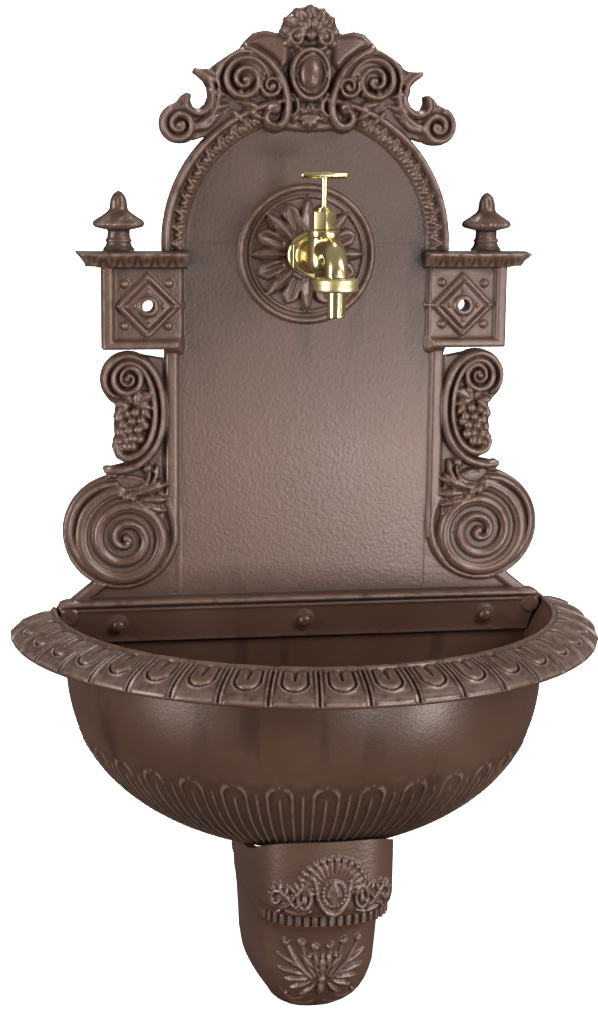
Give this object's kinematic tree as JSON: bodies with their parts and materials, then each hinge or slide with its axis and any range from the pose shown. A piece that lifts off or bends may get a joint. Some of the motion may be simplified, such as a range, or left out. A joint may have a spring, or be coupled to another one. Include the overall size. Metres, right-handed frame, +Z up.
{
  "type": "wall fountain",
  "caption": "Ornate cast wall fountain: arched back plate with scrolls, half-round basin with tongued rim, hollow wall bracket and a brass garden tap.",
  "frame": {"origin": "on the wall face, midway between the two wall screw holes and level with them", "axes": "+Z up, +Y into the wall, the front towards -Y, +X to the viewer's right"},
  "size_m": [0.4392, 0.2322, 0.7411],
  "materials": {
    "brown_cast_paint": "hammered dark brown paint, rubbed lighter on the raised edges",
    "painted_bolt": "dome-headed bolts under the same brown paint",
    "tap_brass": "polished brass",
    "nut_brass": "machined brass"
  },
  "bodies": {
    "fountain": {"back_plate": "brown_cast_paint", "basin": "brown_cast_paint", "bracket": "brown_cast_paint", "basin_bolt_left": "painted_bolt", "basin_bolt_middle": "painted_bolt", "basin_bolt_right": "painted_bolt", "tap_body": "tap_brass", "tap_bonnet": "tap_brass", "tap_union_nut": "nut_brass", "tap_outlet_tube": "tap_brass"},
    "tap_handle": {"tap_handle": "tap_brass"}
  },
  "joints": [
    {"name": "tap_turn", "type": "hinge", "parent": "fountain", "child": "tap_handle", "pos_m": [0, -0.074, 0.0952], "axis": [0, 0, 1], "range_deg": [0, 540]}
  ]
}
